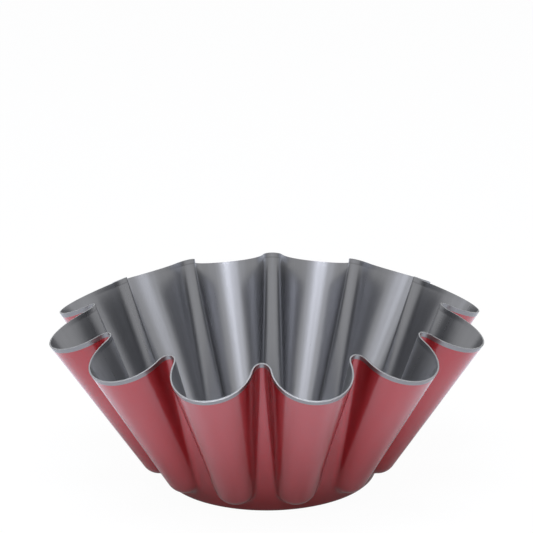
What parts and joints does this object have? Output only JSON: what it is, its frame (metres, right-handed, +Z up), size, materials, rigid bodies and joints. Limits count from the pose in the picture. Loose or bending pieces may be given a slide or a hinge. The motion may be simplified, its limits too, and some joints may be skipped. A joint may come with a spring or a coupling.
{
  "type": "fluted cake mould",
  "caption": "Fluted brioche mould pressed from one steel sheet, with round flaring lobes, a wavy lip, a flat base, a grey non-stick lining and a red outer coat.",
  "frame": {"origin": "centre of the flat base, on the surface that the mould stands on", "axes": "+Z up along the axis of the flutes, -Y through the middle of one inward ridge"},
  "size_m": [0.2134, 0.2134, 0.0893],
  "materials": {
    "bare_steel": "bare sheared edge of the steel sheet",
    "grey_nonstick": "satin grey non-stick coat with a metallic sheen",
    "red_coating": "deep red heat resistant coat with a soft gloss"
  },
  "bodies": {
    "root": {"steel_shell": "bare_steel", "nonstick_lining": "grey_nonstick", "lip_band": "grey_nonstick", "red_coat": "red_coating"}
  },
  "joints": []
}
